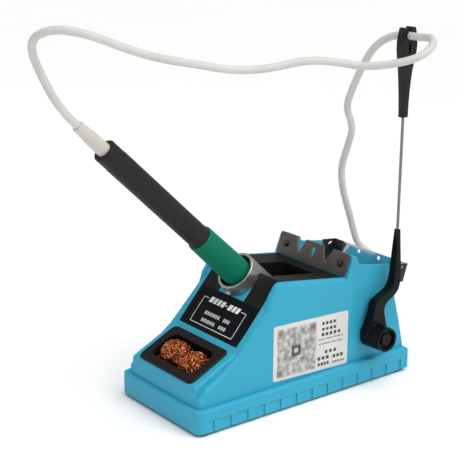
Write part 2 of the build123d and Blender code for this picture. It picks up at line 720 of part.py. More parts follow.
with BuildPart() as transformer:
    with BuildSketch(Plane.XY.offset(BOARD_Z + 1.65)):
        with Locations((0, 47)):
            Rectangle(32, 22)
    extrude(amount=3)
    with BuildSketch(Plane.XY.offset(BOARD_Z + 4.6)):
        with Locations((0, 47)):
            Rectangle(30, 14)
    extrude(amount=20)
    with BuildSketch(Plane.XY.offset(BOARD_Z + 6.5)):
        with Locations((0, 47)):
            RectangleRounded(20, 24, 3)
    extrude(amount=16)
save(transformer, "transformer")

with BuildPart() as capacitors:
    with BuildSketch(Plane.XY.offset(BOARD_Z + 1.65)):
        with Locations((14, -34), (-14, -34), (0, -44)):
            Circle(5.0)
    extrude(amount=14)
    fillet(capacitors.faces().filter_by(Axis.Z).sort_by(Axis.Z)[-3:].edges(), 0.8)
save(capacitors, "capacitors")

# ---------------------------------------------------------------- cord arm
with BuildPart() as pivot_screw:
    with BuildSketch(Plane.YZ.offset(33.0)):
        with Locations((PIV_Y, PIV_Z)):
            Circle(2.5)
    extrude(amount=28.6)
    with BuildSketch(Plane.YZ.offset(61.1)):
        with Locations((PIV_Y, PIV_Z)):
            Circle(4.8)
    extrude(amount=2.3)
    fillet(pivot_screw.faces().sort_by(Axis.X)[-1].edges(), 1.1)
    with BuildSketch(Plane.YZ.offset(62.2)):
        with Locations((PIV_Y, PIV_Z)):
            Rectangle(5.4, 1.0)
            Rectangle(1.0, 5.4)
    extrude(amount=3, mode=Mode.SUBTRACT)
save(pivot_screw, "pivot_screw")

with BuildPart() as pivot_washer:
    with BuildSketch(Plane.YZ.offset(43.62)):
        with Locations((PIV_Y, PIV_Z)):
            Circle(8.0)
            Circle(2.6, mode=Mode.SUBTRACT)
    extrude(amount=1.34)
save(pivot_washer, "pivot_washer")

with BuildPart() as pivot_nut:
    with BuildSketch(Plane.YZ.offset(33.6)):
        with Locations((PIV_Y, PIV_Z)):
            RegularPolygon(4.0, 6, major_radius=False)
            Circle(2.52, mode=Mode.SUBTRACT)
    extrude(amount=4.38)
save(pivot_nut, "pivot_nut")

rod_dir = (0, 1.8, 84.8)
rod_len = (1.8 ** 2 + 84.8 ** 2) ** 0.5
rod_dir = (0, 1.8 / rod_len, 84.8 / rod_len)
ROD_Y0, ROD_Z0 = 84.7, 117.6
CLIP_Z0 = 202.4


def rod_point(z):
    return (ROD_X, ROD_Y0 + (z - ROD_Z0) * rod_dir[1] / rod_dir[2], z)


with BuildPart() as swing_arm:
    with BuildSketch(Plane.YZ.offset(ARM_X0)):
        with BuildLine():
            Spline((53.45, 38.5), (54.1, 44.7), (56.7, 49.2), (59.6, 55.4), (61.2, 62.6))
            Line((61.2, 62.6), (62.3, 65.2))
            Spline((62.3, 65.2), (67.5, 68.0), (74.5, 71.2), (78.4, 75.2), (80.3, 81.2), (81.3, 90.0),
                   (82.4, 104.8), (83.6, 117.6))
            Line((83.6, 117.6), (85.8, 117.6))
            Spline((85.8, 117.6), (86.0, 105.6), (86.3, 94.1), (86.5, 84.0), (85.6, 76.0), (83.4, 70.8),
                   (79.8, 67.2), (75.1, 64.6), (71.2, 60.6), (70.9, 54.0), (73.3, 40.0))
            Line((73.3, 40.0), (73.3, 38.5))
            Line((73.3, 38.5), (53.45, 38.5))
        make_face()
    extrude(amount=8.2)
    # the arm thins towards its tip
    with BuildSketch(Plane.XZ):
        with BuildLine():
            Polyline((ARM_X0, 30), (ARM_X0, 70), (47.2, 118.5), (51.2, 118.5), (53.1, 72), (52.8, 64),
                     (ARM_X1, 58), (ARM_X1, 30), close=True)
        make_face()
    extrude(amount=130, both=True, mode=Mode.INTERSECT)
    # hub
    with BuildSketch(Plane.YZ.offset(ARM_X0)):
        with Locations((PIV_Y, PIV_Z)):
            Circle(10.0)
    with BuildSketch(Plane.YZ.offset(HUB_X1)):
        with Locations((PIV_Y, PIV_Z)):
            Circle(9.1)
    loft()
    with BuildSketch(Plane.YZ.offset(61.0)):
        with Locations((PIV_Y, PIV_Z)):
            Circle(7.4)
    extrude(amount=4, mode=Mode.SUBTRACT)
    with BuildSketch(Plane.YZ.offset(40)):
        with Locations((PIV_Y, PIV_Z)):
            Circle(2.6)
    extrude(amount=30, mode=Mode.SUBTRACT)
    chamfer(swing_arm.edges().filter_by(GeomType.CIRCLE).sort_by(Axis.X)[-1], 0.5)
    # socket of the rod
    with BuildSketch(Plane(origin=rod_point(107.0), x_dir=(1, 0, 0), z_dir=rod_dir)):
        Circle(ROD_D / 2 + 0.03)
    extrude(amount=14, mode=Mode.SUBTRACT)
save(swing_arm, "swing_arm")

with BuildPart() as arm_rod:
    with BuildSketch(Plane(origin=rod_point(107.1), x_dir=(1, 0, 0), z_dir=rod_dir)):
        Circle(ROD_D / 2)
    extrude(amount=CLIP_Z0 + 9.5 - 107.1)
save(arm_rod, "arm_rod")

# clip at the top of the rod: the cord is pushed in between two prongs
HOLE_Y, HOLE_Z = 88.0, 261.6
CLIP_X0, CLIP_X1 = 46.0, 52.4
with BuildPart() as cord_clip:
    with BuildSketch(Plane.YZ.offset(CLIP_X0)):
        with BuildLine():
            Spline((84.0, 202.4), (83.9, 215.0), (83.3, 228.0), (82.4, 240.0), (81.2, 249.0), (81.0, 256.0),
                   (82.3, 263.5), (83.4, 267.2))
            Line((83.4, 267.2), (86.2, 267.2))
            Line((86.2, 267.2), (HOLE_Y, 264.2))
            Line((HOLE_Y, 264.2), (90.2, 267.8))
            Line((90.2, 267.8), (93.6, 267.4))
            Spline((93.6, 267.4), (94.6, 262.0), (95.4, 255.0), (94.4, 248.0), (91.9, 238.0), (90.4, 228.0),
                   (89.4, 215.0), (89.0, 202.4))
            Line((89.0, 202.4), (84.0, 202.4))
        make_face()
    extrude(amount=CLIP_X1 - CLIP_X0)
    with BuildSketch(Plane.XZ):
        with BuildLine():
            Polyline((46.9, 200), (46.4, 225), (CLIP_X0, 246), (CLIP_X0, 270), (CLIP_X1, 270), (CLIP_X1, 246),
                     (52.0, 225), (51.5, 200), close=True)
        make_face()
    extrude(amount=130, both=True, mode=Mode.INTERSECT)
    # slot and seat of the cord
    with BuildSketch(Plane.YZ.offset(40)):
        with Locations((HOLE_Y, HOLE_Z)):
            Circle(CORD_D / 2 + 0.1)
        with Locations((HOLE_Y, 268)):
            Rectangle(2.4, 14)
        with Locations((HOLE_Y, 253.5)):
            SlotOverall(9.0, 2.0, rotation=90)
    extrude(amount=20, mode=Mode.SUBTRACT)
    with BuildSketch(Plane(origin=rod_point(200.0), x_dir=(1, 0, 0), z_dir=rod_dir)):
        Circle(ROD_D / 2 + 0.03)
    extrude(amount=12.2, mode=Mode.SUBTRACT)
save(cord_clip, "cord_clip")

# ---------------------------------------------------------------- iron


def turned(points):
    """Half profile (s along the holder axis, radius) on the plane x = 0."""
    out = []
    for s, r in points:
        p = axis_point(s)
        out.append((p[1] - az * r, p[2] + ay * r))
    return out


AXIS = Axis(origin=axis_point(0), direction=(0, ay, az))
S_GRIP0, S_GRIP1 = -43.9, 10.0
S_TAIL, S_BOOT = -150.7, -177.5
with BuildPart() as handle_tube:
    with BuildSketch(Plane.YZ):
        with BuildLine():
            Polyline(*turned([(S_TAIL, 4.1), (S_TAIL, 7.9), (S_TAIL + 0.6, 8.5), (-139.0, 8.5), (-138.4, 8.7),
                              (-50, 8.7), (S_GRIP0 - 0.02, 8.9), (S_GRIP0 - 0.02, 6.5), (S_TAIL + 3, 6.5),
                              (S_TAIL + 3, 4.1)]), close=True)
        make_face()
    revolve(axis=AXIS)
save(handle_tube, "handle_tube")

with BuildPart() as iron_grip:
    with BuildSketch(Plane.YZ):
        with BuildLine():
            Polyline(*turned([(S_GRIP0, 6.5), (S_GRIP0, 9.5), (S_GRIP0 + 0.5, 10.0), (-20.0, 10.5), (4.0, 10.9),
                              (8.2, 10.9), (S_GRIP1, 9.6), (S_GRIP1, 6.5)]), close=True)
        make_face()
    revolve(axis=AXIS)
save(iron_grip, "iron_grip")

with BuildPart() as iron_nose:
    with BuildSketch(Plane.YZ):
        with BuildLine():
            Polyline(*turned([(-70, 3.3), (-70, 6.45), (S_GRIP1 + 0.1, 6.45), (S_GRIP1 + 0.1, 6.0), (18, 5.6), (26, 4.4),
                              (26, 3.3)]), close=True)
        make_face()
    revolve(axis=AXIS)
save(iron_nose, "iron_nose")

with BuildPart() as heater_cartridge:
    with BuildSketch(Plane.YZ):
        with BuildLine():
            Polyline(*turned([(-69.9, 0), (-69.9, 3.25), (40, 3.25), (43, 2.75), (60, 2.6), (71.5, 0.4), (72, 0)]),
                     close=True)
        make_face()
    revolve(axis=AXIS)
save(heater_cartridge, "heater_cartridge")

with BuildPart() as cord_boot:
    with BuildSketch(Plane.YZ):
        with BuildLine():
            Polyline(*turned([(S_BOOT, 0), (S_BOOT, 3.8), (S_BOOT + 0.4, 4.15), (-167.2, 4.45), (-166.4, 4.9),
                              (S_TAIL - 0.05, 5.1), (S_TAIL - 0.05, 4.05), (S_TAIL + 3.05, 4.05),
                              (S_TAIL + 3.05, 6.0), (S_TAIL + 5.0, 6.0), (S_TAIL + 5.0, 0)]), close=True)
        make_face()
    revolve(axis=AXIS)
save(cord_boot, "cord_boot")

# ---------------------------------------------------------------- cord
# Straight runs joined by tangent arcs; each radius is 0.45 of the shorter run over
# the tangent of half the turn.


def arc_radii(pts):
    out = []
    for a, b, c in zip(pts[:-2], pts[1:-1], pts[2:]):
        u, v = Vector(*b) - Vector(*a), Vector(*c) - Vector(*b)
        half = radians(u.get_angle(v)) / 2
        out.append(0.45 * min(u.length, v.length) / tan(half))
    return out


boot_end = axis_point(S_BOOT)
CLIP_MID = (CLIP_X0 + CLIP_X1) / 2
gl = rear_plane(GLAND_X, REAR_Z, GLAND_OUT).origin
JOIN_A, JOIN_B = (28.3, -83.5, 256.5), (31.2, -53.7, 249.2)
# the front and middle stretches meet halfway along one straight run
JOIN = tuple((a + b) / 2 for a, b in zip(JOIN_A, JOIN_B))
FRONT = [
    boot_end, axis_point(S_BOOT - 17.9),
    (-13.6, -176.0, 257.4), (-11.1, -182.0, 271.9), (-2.0, -183.6, 281.0),
    (12.7, -177.3, 286.5), (23.5, -158.8, 282.2), (23.3, -135.9, 272.0), (25.2, -110.5, 262.8),
    (28.3, -83.5, 256.5), (29.7, -68.6, 252.9),
]
MIDDLE = [
    JOIN, JOIN_B, (36.5, -27.3, 248.5), (45.5, -3.8, 253.0),
    (53.1, 15.9, 251.0), (63.0, 33.2, 246.7), (76.9, 47.9, 248.7), (88.2, 61.0, 253.1),
    (87.4, 75.4, 259.1), (77.5, 85.1, 263.6),
    (CLIP_MID + 13.7, HOLE_Y, HOLE_Z), (CLIP_MID, HOLE_Y, HOLE_Z),
]
REAR = [
    (CLIP_MID, HOLE_Y, HOLE_Z), (CLIP_MID - 11.2, HOLE_Y, HOLE_Z),
    (21.3, 83.2, 252.2), (12.2, 79.5, 235.4), (3.5, 78.9, 219.2), (-4.0, 78.3, 202.2),
    (-5.6, 88.3, 185.6), (-12.6, 89.1, 168.9), (-17.0, 86.2, 151.0), (-17.9, 89.9, 132.1),
    (-18.7, 97.2, 113.9), (-26.3, 109.0, 96.2), (-25.4, 114.1, 80.7), (-24.0, 128.2, 71.5),
    (-23.8, 132.2, 57.0),
    (GLAND_X, gl.Y + 15.5 * cr, gl.Z + 15.5 * sr), (GLAND_X, gl.Y, gl.Z),
]
for cord_name, cord_pts in (("cord_front", FRONT), ("cord_middle", MIDDLE), ("cord_rear", REAR)):
    radii = arc_radii(cord_pts)
    print(cord_name, "radii", [round(r, 1) for r in radii])
    with BuildPart() as cord:
        with BuildLine() as route:
            FilletPolyline(*cord_pts, radius=radii)
        wire = route.wires()[0]
        with BuildSketch(Plane(origin=wire @ 0, z_dir=wire % 0)):
            Circle(CORD_D / 2)
        sweep(path=wire)
    ratio = cord.part.volume / (pi * CORD_D ** 2 / 4 * wire.length)
    print(cord_name, "length", round(wire.length, 1), "volume ratio", round(ratio, 5))
    save(cord, cord_name)

print(len(written), "nodes")
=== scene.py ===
# Looks of the bench soldering stand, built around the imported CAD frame.
import bpy
import bmesh
import math
import random
from mathutils import Matrix, Vector


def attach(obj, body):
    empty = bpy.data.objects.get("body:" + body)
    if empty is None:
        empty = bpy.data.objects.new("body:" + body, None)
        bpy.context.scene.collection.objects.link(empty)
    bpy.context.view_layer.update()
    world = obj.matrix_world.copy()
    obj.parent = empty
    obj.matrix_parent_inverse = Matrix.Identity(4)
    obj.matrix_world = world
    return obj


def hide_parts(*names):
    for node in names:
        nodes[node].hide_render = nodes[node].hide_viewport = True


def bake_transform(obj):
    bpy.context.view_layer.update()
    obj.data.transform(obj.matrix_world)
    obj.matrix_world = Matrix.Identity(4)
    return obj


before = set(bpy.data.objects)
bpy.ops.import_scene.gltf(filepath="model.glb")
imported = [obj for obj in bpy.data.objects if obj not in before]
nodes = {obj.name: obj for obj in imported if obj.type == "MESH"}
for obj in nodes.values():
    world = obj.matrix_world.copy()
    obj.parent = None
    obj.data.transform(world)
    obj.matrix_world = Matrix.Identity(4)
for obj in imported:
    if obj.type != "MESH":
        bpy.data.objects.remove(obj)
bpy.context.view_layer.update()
scene = bpy.context.scene
MM = 0.001


# ------------------------------------------------------------------ geometry of the case
def rad(a):
    return math.radians(a)


S1, S2, TOP_TILT, AXIS_TILT = 25.3, 48.5, 8.67, 44.5
KINK = (-56.8, 51.7)
TOPV = (-23.2, 95.6)


def slope1_z(y):
    return KINK[1] + (y - KINK[0]) * math.tan(rad(S1))


def plane_matrix(origin, x_dir, z_dir):
    """Placement in metres of a working plane given in millimetres."""
    x = Vector(x_dir).normalized()
    z = Vector(z_dir).normalized()
    y = z.cross(x)
    m = Matrix((x, y, z)).transposed().to_4x4()
    m.translation = Vector(origin) * MM
    return m


SL1 = plane_matrix((0, -77.5, slope1_z(-77.5)), (1, 0, 0), (0, -math.sin(rad(S1)), math.cos(rad(S1))))
SL2 = plane_matrix((0, KINK[0], KINK[1]), (1, 0, 0), (0, -math.sin(rad(S2)), math.cos(rad(S2))))
TOP = plane_matrix((0, TOPV[0], TOPV[1]), (1, 0, 0), (0, math.sin(rad(TOP_TILT)), math.cos(rad(TOP_TILT))))
SIDE = plane_matrix((44.5 - 0.03 * (42.0 - 19.2), 6.0, 42.0), (0, 1, 0), (math.cos(0.03), 0, math.sin(0.03)))

# ------------------------------------------------------------------ camera
cam_data = bpy.data.cameras.new("camera")
cam = bpy.data.objects.new("camera", cam_data)
scene.collection.objects.link(cam)
az, el, roll = rad(52.989), rad(16.995), rad(-0.351)
back = Vector((math.sin(az) * math.cos(el), -math.cos(az) * math.cos(el), math.sin(el)))
right = Vector((math.cos(az), math.sin(az), 0.0))
up = back.cross(right)
right2 = right * math.cos(roll) + up * math.sin(roll)
up2 = -right * math.sin(roll) + up * math.cos(roll)
cm = Matrix((right2, up2, back)).transposed().to_4x4()
cm.translation = Vector((0.717028, -0.572836, 0.399656))
cam.matrix_world = cm
cam_data.sensor_fit = "HORIZONTAL"
cam_data.sensor_width = 36.0
cam_data.lens = 1302.36 / 465.0 * 36.0
cam_data.clip_start = 0.05
cam_data.clip_end = 20.0
scene.camera = cam


# ------------------------------------------------------------------ node helpers
class Mat:
    """A small wrapper that keeps a material's node code short."""

    def __init__(self, name):
        self.m = bpy.data.materials.new(name)
        self.m.use_nodes = True
        self.t = self.m.node_tree
        self.t.nodes.clear()
        self.out = self.add("ShaderNodeOutputMaterial")
        self.b = self.add("ShaderNodeBsdfPrincipled")
        self.link(self.b, "BSDF", self.out, "Surface")
        self.co = self.add("ShaderNodeTexCoord")

    def add(self, kind, **props):
        n = self.t.nodes.new(kind)
        for k, v in props.items():
            setattr(n, k, v)
        return n

    def link(self, a, ao, b, bi):
        self.t.links.new(a.outputs[ao], b.inputs[bi])

    def set(self, **values):
        for k, v in values.items():
            self.b.inputs[k.replace("_", " ")].default_value = v
        return self

    def coords(self, scale=(1, 1, 1), rot=(0, 0, 0)):
        n = self.add("ShaderNodeMapping")
        n.inputs["Scale"].default_value = scale
        n.inputs["Rotation"].default_value = rot
        self.link(self.co, "Object", n, "Vector")
        return n

    def noise(self, scale, detail=4.0, rough=0.55, src=None, distortion=0.0):
        n = self.add("ShaderNodeTexNoise")
        n.inputs["Scale"].default_value = scale
        n.inputs["Detail"].default_value = detail
        n.inputs["Roughness"].default_value = rough
        n.inputs["Distortion"].default_value = distortion
        if src is None:
            self.link(self.co, "Object", n, "Vector")
        else:
            self.link(src, "Vector", n, "Vector")
        return n

    def voronoi(self, scale, src=None, feature="F1"):
        n = self.add("ShaderNodeTexVoronoi", feature=feature)
        n.inputs["Scale"].default_value = scale
        if src is None:
            self.link(self.co, "Object", n, "Vector")
        else:
            self.link(src, "Vector", n, "Vector")
        return n

    def ramp(self, src, out, stops, interp="LINEAR"):
        n = self.add("ShaderNodeValToRGB")
        n.color_ramp.interpolation = interp
        e = n.color_ramp.elements
        while len(e) < len(stops):
            e.new(0.5)
        for k, (p, c) in enumerate(stops):
            e[k].position = p
            e[k].color = c if len(c) == 4 else (*c, 1.0)
        self.link(src, out, n, "Fac")
        return n

    def maprange(self, src, out, a, b, c, d):
        n = self.add("ShaderNodeMapRange")
        n.inputs["From Min"].default_value = a
        n.inputs["From Max"].default_value = b
        n.inputs["To Min"].default_value = c
        n.inputs["To Max"].default_value = d
        self.link(src, out, n, "Value")
        return n

    def mix(self, fac, a, b, blend="MIX"):
        """fac, a and b are a number or colour, or a (node, output) pair."""
        n = self.add("ShaderNodeMix", data_type="RGBA", blend_type=blend)
        for key, v in (("Factor", fac), ("A", a), ("B", b)):
            sock = [s for s in n.inputs if s.name == key and s.enabled][0]
            if isinstance(v, tuple) and len(v) == 2 and hasattr(v[0], "outputs"):
                self.t.links.new(v[0].outputs[v[1]], sock)
            elif key == "Factor":
                sock.default_value = v
            else:
                sock.default_value = v if len(v) == 4 else (*v, 1.0)
        return n

    def math(self, op, a, b=0.0, clamp=False):
        n = self.add("ShaderNodeMath", operation=op, use_clamp=clamp)
        for k, v in enumerate((a, b)):
            if isinstance(v, tuple):
                self.t.links.new(v[0].outputs[v[1]], n.inputs[k])
            else:
                n.inputs[k].default_value = v
        return n

    def bump(self, src, out, distance, strength=1.0, normal=None):
        n = self.add("ShaderNodeBump")
        n.inputs["Distance"].default_value = distance
        n.inputs["Strength"].default_value = strength
        self.link(src, out, n, "Height")
        if normal is not None:
            self.link(normal, "Normal", n, "Normal")
        return n

    def soft_edges(self, radius):
        """Rounds hard edges in shading and returns (bevel node, edge mask node)."""
        bv = self.add("ShaderNodeBevel", samples=4)
        bv.inputs["Radius"].default_value = radius
        g = self.add("ShaderNodeNewGeometry")
        d = self.add("ShaderNodeVectorMath", operation="DOT_PRODUCT")
        self.link(bv, "Normal", d, 0)
        self.link(g, "Normal", d, 1)
        inv = self.maprange(d, "Value", 1.0, 0.86, 0.0, 1.0)
        return bv, inv

    def colour(self, n, out="Color"):
        self.link(n, out, self.b, "Base Color")

    def rough(self, n, out="Result"):
        self.link(n, out, self.b, "Roughness")

    def normal(self, n):
        self.link(n, "Normal", self.b, "Normal")


def rgb(r, g, b):
    """sRGB 0-255 to linear."""
    return tuple(((c / 255.0) / 12.92 if c / 255.0 <= 0.04045 else ((c / 255.0 + 0.055) / 1.055) ** 2.4)
                 for c in (r, g, b))


def mul(c, k):
    return tuple(min(1.0, x * k) for x in c)


def moulded(name, col, rough=(0.42, 0.52), grain=2600.0, depth=0.00002, edge=0.10, spec=0.5, mottle=0.05,
            bevel=0.0004, wear=None, coat=0.0):
    """Injection-moulded plastic: fine spark texture, faint flow mottling, rounded and slightly worn edges."""
    m = Mat(name)
    bv, edge_mask = m.soft_edges(bevel)
    big = m.noise(28.0, 3.0)
    fine = m.noise(grain, 2.0, 0.6)
    mid = m.noise(420.0, 4.0, 0.6)
    tone = m.ramp(big, "Fac", [(0.30, mul(col, 1 - mottle)), (0.70, mul(col, 1 + mottle))])
    speck = m.mix(0.5, (tone, "Color"), (0.5, 0.5, 0.5), "SOFT_LIGHT")
    m.t.links.new(m.maprange(fine, "Fac", 0.3, 0.7, 0.0, 0.22).outputs["Result"],
                  [s for s in speck.inputs if s.name == "Factor" and s.enabled][0])
    worn = m.mix(0.0, (speck, "Result"), wear or mul(col, 1.5))
    scratch = m.maprange(mid, "Fac", 0.35, 0.75, 0.0, edge * 2)
    f = m.math("MULTIPLY", (edge_mask, "Result"), (scratch, "Result"), clamp=True)
    m.t.links.new(f.outputs[0], [s for s in worn.inputs if s.name == "Factor" and s.enabled][0])
    m.colour(worn, "Result")
    m.rough(m.maprange(mid, "Fac", 0.3, 0.7, rough[0], rough[1]))
    m.normal(m.bump(fine, "Fac", depth, 0.6, bv))
    m.set(Specular_IOR_Level=spec)
    if coat:
        m.set(Coat_Weight=coat, Coat_Roughness=0.15)
    return m.m


def metal(name, col, rough=(0.18, 0.32), brush=None, depth=0.00001, bevel=0.0003, tint=None, grain=1800.0, aniso=0.0):
    """Sheet or turned metal. brush is the scale of the drawing lines along X, Y and Z."""
    m = Mat(name)
    bv, edge_mask = m.soft_edges(bevel)
    src = m.coords(brush) if brush else None
    lines = m.noise(1.0 if brush else grain, 3.0, 0.6, src)
    smudge = m.noise(60.0, 4.0, 0.6)
    base = m.ramp(smudge, "Fac", [(0.3, mul(col, 0.86)), (0.72, mul(col, 1.08))])
    streak = m.mix(0.35, (base, "Color"), mul(col, 0.72), "MIX")
    m.t.links.new(m.maprange(lines, "Fac", 0.35, 0.7, 0.0, 0.5).outputs["Result"],
                  [s for s in streak.inputs if s.name == "Factor" and s.enabled][0])
    bright = m.mix(0.0, (streak, "Result"), mul(col, 1.5) if tint is None else tint)
    m.t.links.new(edge_mask.outputs["Result"], [s for s in bright.inputs if s.name == "Factor" and s.enabled][0])
    m.colour(bright, "Result")
    m.rough(m.maprange(lines, "Fac", 0.3, 0.7, rough[0], rough[1]))
    m.normal(m.bump(lines, "Fac", depth, 0.5, bv))
    m.set(Metallic=1.0)
    if aniso:
        m.set(Anisotropic=aniso)
    return m.m


def silicone(name, col, rough=(0.38, 0.5), dust=0.08, spec=0.45, sheen=0.0, wave=0.0):
    """Soft silicone: satin, with dust specks and faint press marks."""
    m = Mat(name)
    big = m.noise(45.0, 3.0)
    fine = m.noise(1500.0, 3.0, 0.65)
    spots = m.voronoi(900.0)
    tone = m.ramp(big, "Fac", [(0.3, mul(col, 0.93)), (0.7, mul(col, 1.05))])
    dusty = m.mix(0.0, (tone, "Color"), (0.75, 0.74, 0.70))
    sp = m.maprange(spots, "Distance", 0.10, 0.03, 0.0, dust * 3)
    m.t.links.new(sp.outputs["Result"], [s for s in dusty.inputs if s.name == "Factor" and s.enabled][0])
    m.colour(dusty, "Result")
    m.rough(m.maprange(fine, "Fac", 0.3, 0.7, rough[0], rough[1]))
    m.normal(m.bump(fine, "Fac", 0.00002, 0.5))
    m.set(Specular_IOR_Level=spec)
    if sheen:
        m.set(Sheen_Weight=sheen, Sheen_Roughness=0.5)
    return m.m


BLUE = (0.032, 0.362, 0.530)
mat_case = moulded("case_plastic", BLUE, rough=(0.40, 0.52), edge=0.16, mottle=0.03, wear=rgb(140, 210, 228),
                   bevel=0.0007, spec=0.28)
mat_foot = moulded("foot_rubber", rgb(26, 26, 27), rough=(0.7, 0.85), depth=0.00005, spec=0.2)
mat_panel = moulded("panel_plastic", rgb(5, 10, 16), rough=(0.34, 0.44), grain=1900.0, spec=0.09, bevel=0.0003,
                    edge=0.05, wear=rgb(60, 62, 66))
mat_print = moulded("print_white", rgb(232, 234, 232), rough=(0.45, 0.6), grain=3000.0, edge=0.0, spec=0.3,
                    bevel=0.0001)
mat_cup = moulded("cup_paint", rgb(24, 21, 21), rough=(0.36, 0.5), grain=1500.0, depth=0.00003, spec=0.2,
                  edge=0.18, wear=rgb(110, 102, 98))
mat_tub = moulded("tub_plastic", rgb(19, 19, 20), rough=(0.42, 0.56), grain=2200.0, depth=0.00003, spec=0.2,
                  edge=0.14, wear=rgb(84, 82, 80))
mat_arm = moulded("arm_nylon", rgb(8, 8, 10), rough=(0.28, 0.40), grain=1600.0, depth=0.00004, spec=0.15,
                  edge=0.07, wear=rgb(96, 90, 98), bevel=0.0016)
mat_clip = moulded("clip_nylon", rgb(13, 12, 11), rough=(0.22, 0.34), grain=1600.0, depth=0.00003, spec=0.25,
                   edge=0.07, wear=rgb(100, 94, 88), bevel=0.0012)
mat_handle = moulded("handle_shell", rgb(33, 32, 29), rough=(0.46, 0.62), grain=1300.0, depth=0.00004, spec=0.22,
                     edge=0.10, mottle=0.10)
mat_inlet = moulded("inlet_plastic", rgb(20, 20, 21), rough=(0.4, 0.5), spec=0.25)
mat_switch = moulded("switch_plastic", rgb(16, 16, 17), rough=(0.18, 0.26), grain=900.0, depth=0.000005, spec=0.4)
mat_tube = metal("tube_steel", (0.52, 0.51, 0.46), rough=(0.34, 0.48), grain=2600.0, depth=0.00002,
                 tint=(0.95, 0.95, 0.92))
mat_screw = metal("screw_steel", (0.62, 0.61, 0.60), rough=(0.18, 0.3), grain=1400.0)
# Pivot screw head in the hub's counterbore: its near-black colour is painted shade of the recess.
mat_screw_recess_shade = metal("screw_recessed", (0.030, 0.028, 0.027), rough=(0.40, 0.55), grain=1400.0,
                       tint=(0.12, 0.11, 0.10))
mat_screw_dark = metal("screw_black_oxide", (0.075, 0.07, 0.066), rough=(0.26, 0.38), grain=1400.0,
                       tint=(0.35, 0.33, 0.31))
mat_rack = metal("rack_steel", (0.155, 0.135, 0.12), rough=(0.34, 0.46), brush=(60.0, 2400.0, 2400.0), depth=0.00001,
                 tint=(0.5, 0.47, 0.43))
mat_rod = metal("rod_steel", (0.24, 0.22, 0.21), rough=(0.22, 0.34), brush=(2500.0, 2500.0, 60.0))
mat_nose = metal("nose_metal", (0.70, 0.70, 0.71), rough=(0.18, 0.28), grain=1500.0)
mat_grip = silicone("grip_silicone", (0.0010, 0.170, 0.098), rough=(0.50, 0.64), dust=0.02, spec=0.14)
mat_boot = silicone("boot_silicone", rgb(206, 200, 190), rough=(0.45, 0.58), dust=0.02)
mat_cord = silicone("cord_silicone", rgb(206, 203, 198), rough=(0.42, 0.55), dust=0.02, spec=0.35)
mat_board = moulded("board_lacquer", rgb(20, 92, 52), rough=(0.25, 0.35), spec=0.5)
mat_core = metal("core_steel", (0.25, 0.24, 0.23), rough=(0.4, 0.55))
mat_can = moulded("can_sleeve", rgb(50, 54, 110), rough=(0.3, 0.4))
mat_print_soft = moulded("print_grey", rgb(186, 189, 188), rough=(0.45, 0.6), grain=3000.0, edge=0.0, spec=0.3,
                         bevel=0.0001)
mat_ink = moulded("ink_dark", rgb(78, 74, 72), rough=(0.5, 0.65), grain=2400.0, edge=0.0, spec=0.3, bevel=0.0001)
mat_ink_soft = moulded("ink_grey", rgb(120, 116, 114), rough=(0.5, 0.65), grain=2400.0, edge=0.0, spec=0.3,
                       bevel=0.0001)


def tray_material():
    """Polished sheet inside; the outer faces of the folded cheeks and the left end of the rear are painted dark
    brown: a painted dark reflection of the surroundings.
    """
    m = Mat("tray_steel")
    bv, edge_mask = m.soft_edges(0.0003)
    sep = m.add("ShaderNodeSeparateXYZ")
    m.link(m.co, "Object", sep, "Vector")
    ax = m.math("ABSOLUTE", (sep, "X"))
    # Painted dark reflection: mask of the cheeks' outer faces and of the left end, where the polished steel is
    # painted dark brown.
    outer = m.maprange(ax, "Value", 0.04095, 0.04115, 0.0, 1.0)
    left = m.maprange(sep, "X", -0.0290, -0.0305, 0.0, 0.92)
    painted_dark_reflection_mask = m.maprange(m.math("MAXIMUM", (outer, "Result"), (left, "Result")), "Value", 0.0, 1.0, 0.0, 1.0)
    lines = m.noise(1.0, 3.0, 0.6, m.coords((90.0, 1500.0, 1500.0)))
    smudge = m.noise(60.0, 4.0)
    steel = m.ramp(smudge, "Fac", [(0.3, (0.80, 0.84, 0.87)), (0.72, (0.90, 0.92, 0.94))])
    # dark brown colour of the painted reflection on the masked faces
    coat = m.ramp(smudge, "Fac", [(0.3, (0.040, 0.037, 0.034)), (0.72, (0.062, 0.056, 0.052))])
    mix = m.mix((painted_dark_reflection_mask, "Result"), (steel, "Color"), (coat, "Color"))
    edge = m.mix((edge_mask, "Result"), (mix, "Result"), (0.30, 0.26, 0.22))
    m.colour(edge, "Result")
    r = m.maprange(lines, "Fac", 0.3, 0.7, 0.09, 0.16)
    r2 = m.math("MULTIPLY", (painted_dark_reflection_mask, "Result"), 0.28)
    rr = m.math("ADD", (r, "Result"), (r2, "Value"))
    m.link(rr, "Value", m.b, "Roughness")
    m.normal(m.bump(lines, "Fac", 0.000003, 0.5, bv))
    m.set(Metallic=1.0)
    return m.m


